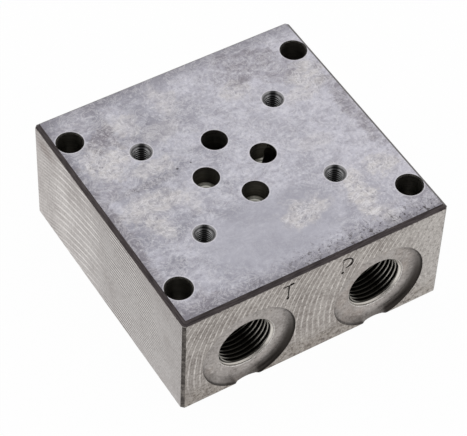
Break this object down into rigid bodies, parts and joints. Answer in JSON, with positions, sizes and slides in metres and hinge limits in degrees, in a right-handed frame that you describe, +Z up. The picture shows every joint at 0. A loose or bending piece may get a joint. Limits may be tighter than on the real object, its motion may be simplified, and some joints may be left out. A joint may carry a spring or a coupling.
{
  "type": "hydraulic manifold block",
  "caption": "Square steel manifold block that carries a directional valve on its ground top face and leads its ports to threaded pipe ports in the front and back faces.",
  "frame": {"origin": "centre of the block's bottom face", "axes": "+X to the right along the front face, +Y to the back, +Z up, out of the valve face"},
  "size_m": [0.08, 0.079, 0.035],
  "materials": {
    "steel": "ground top face, fly-cut sides"
  },
  "bodies": {
    "root": {"manifold_block": "steel"}
  },
  "joints": []
}
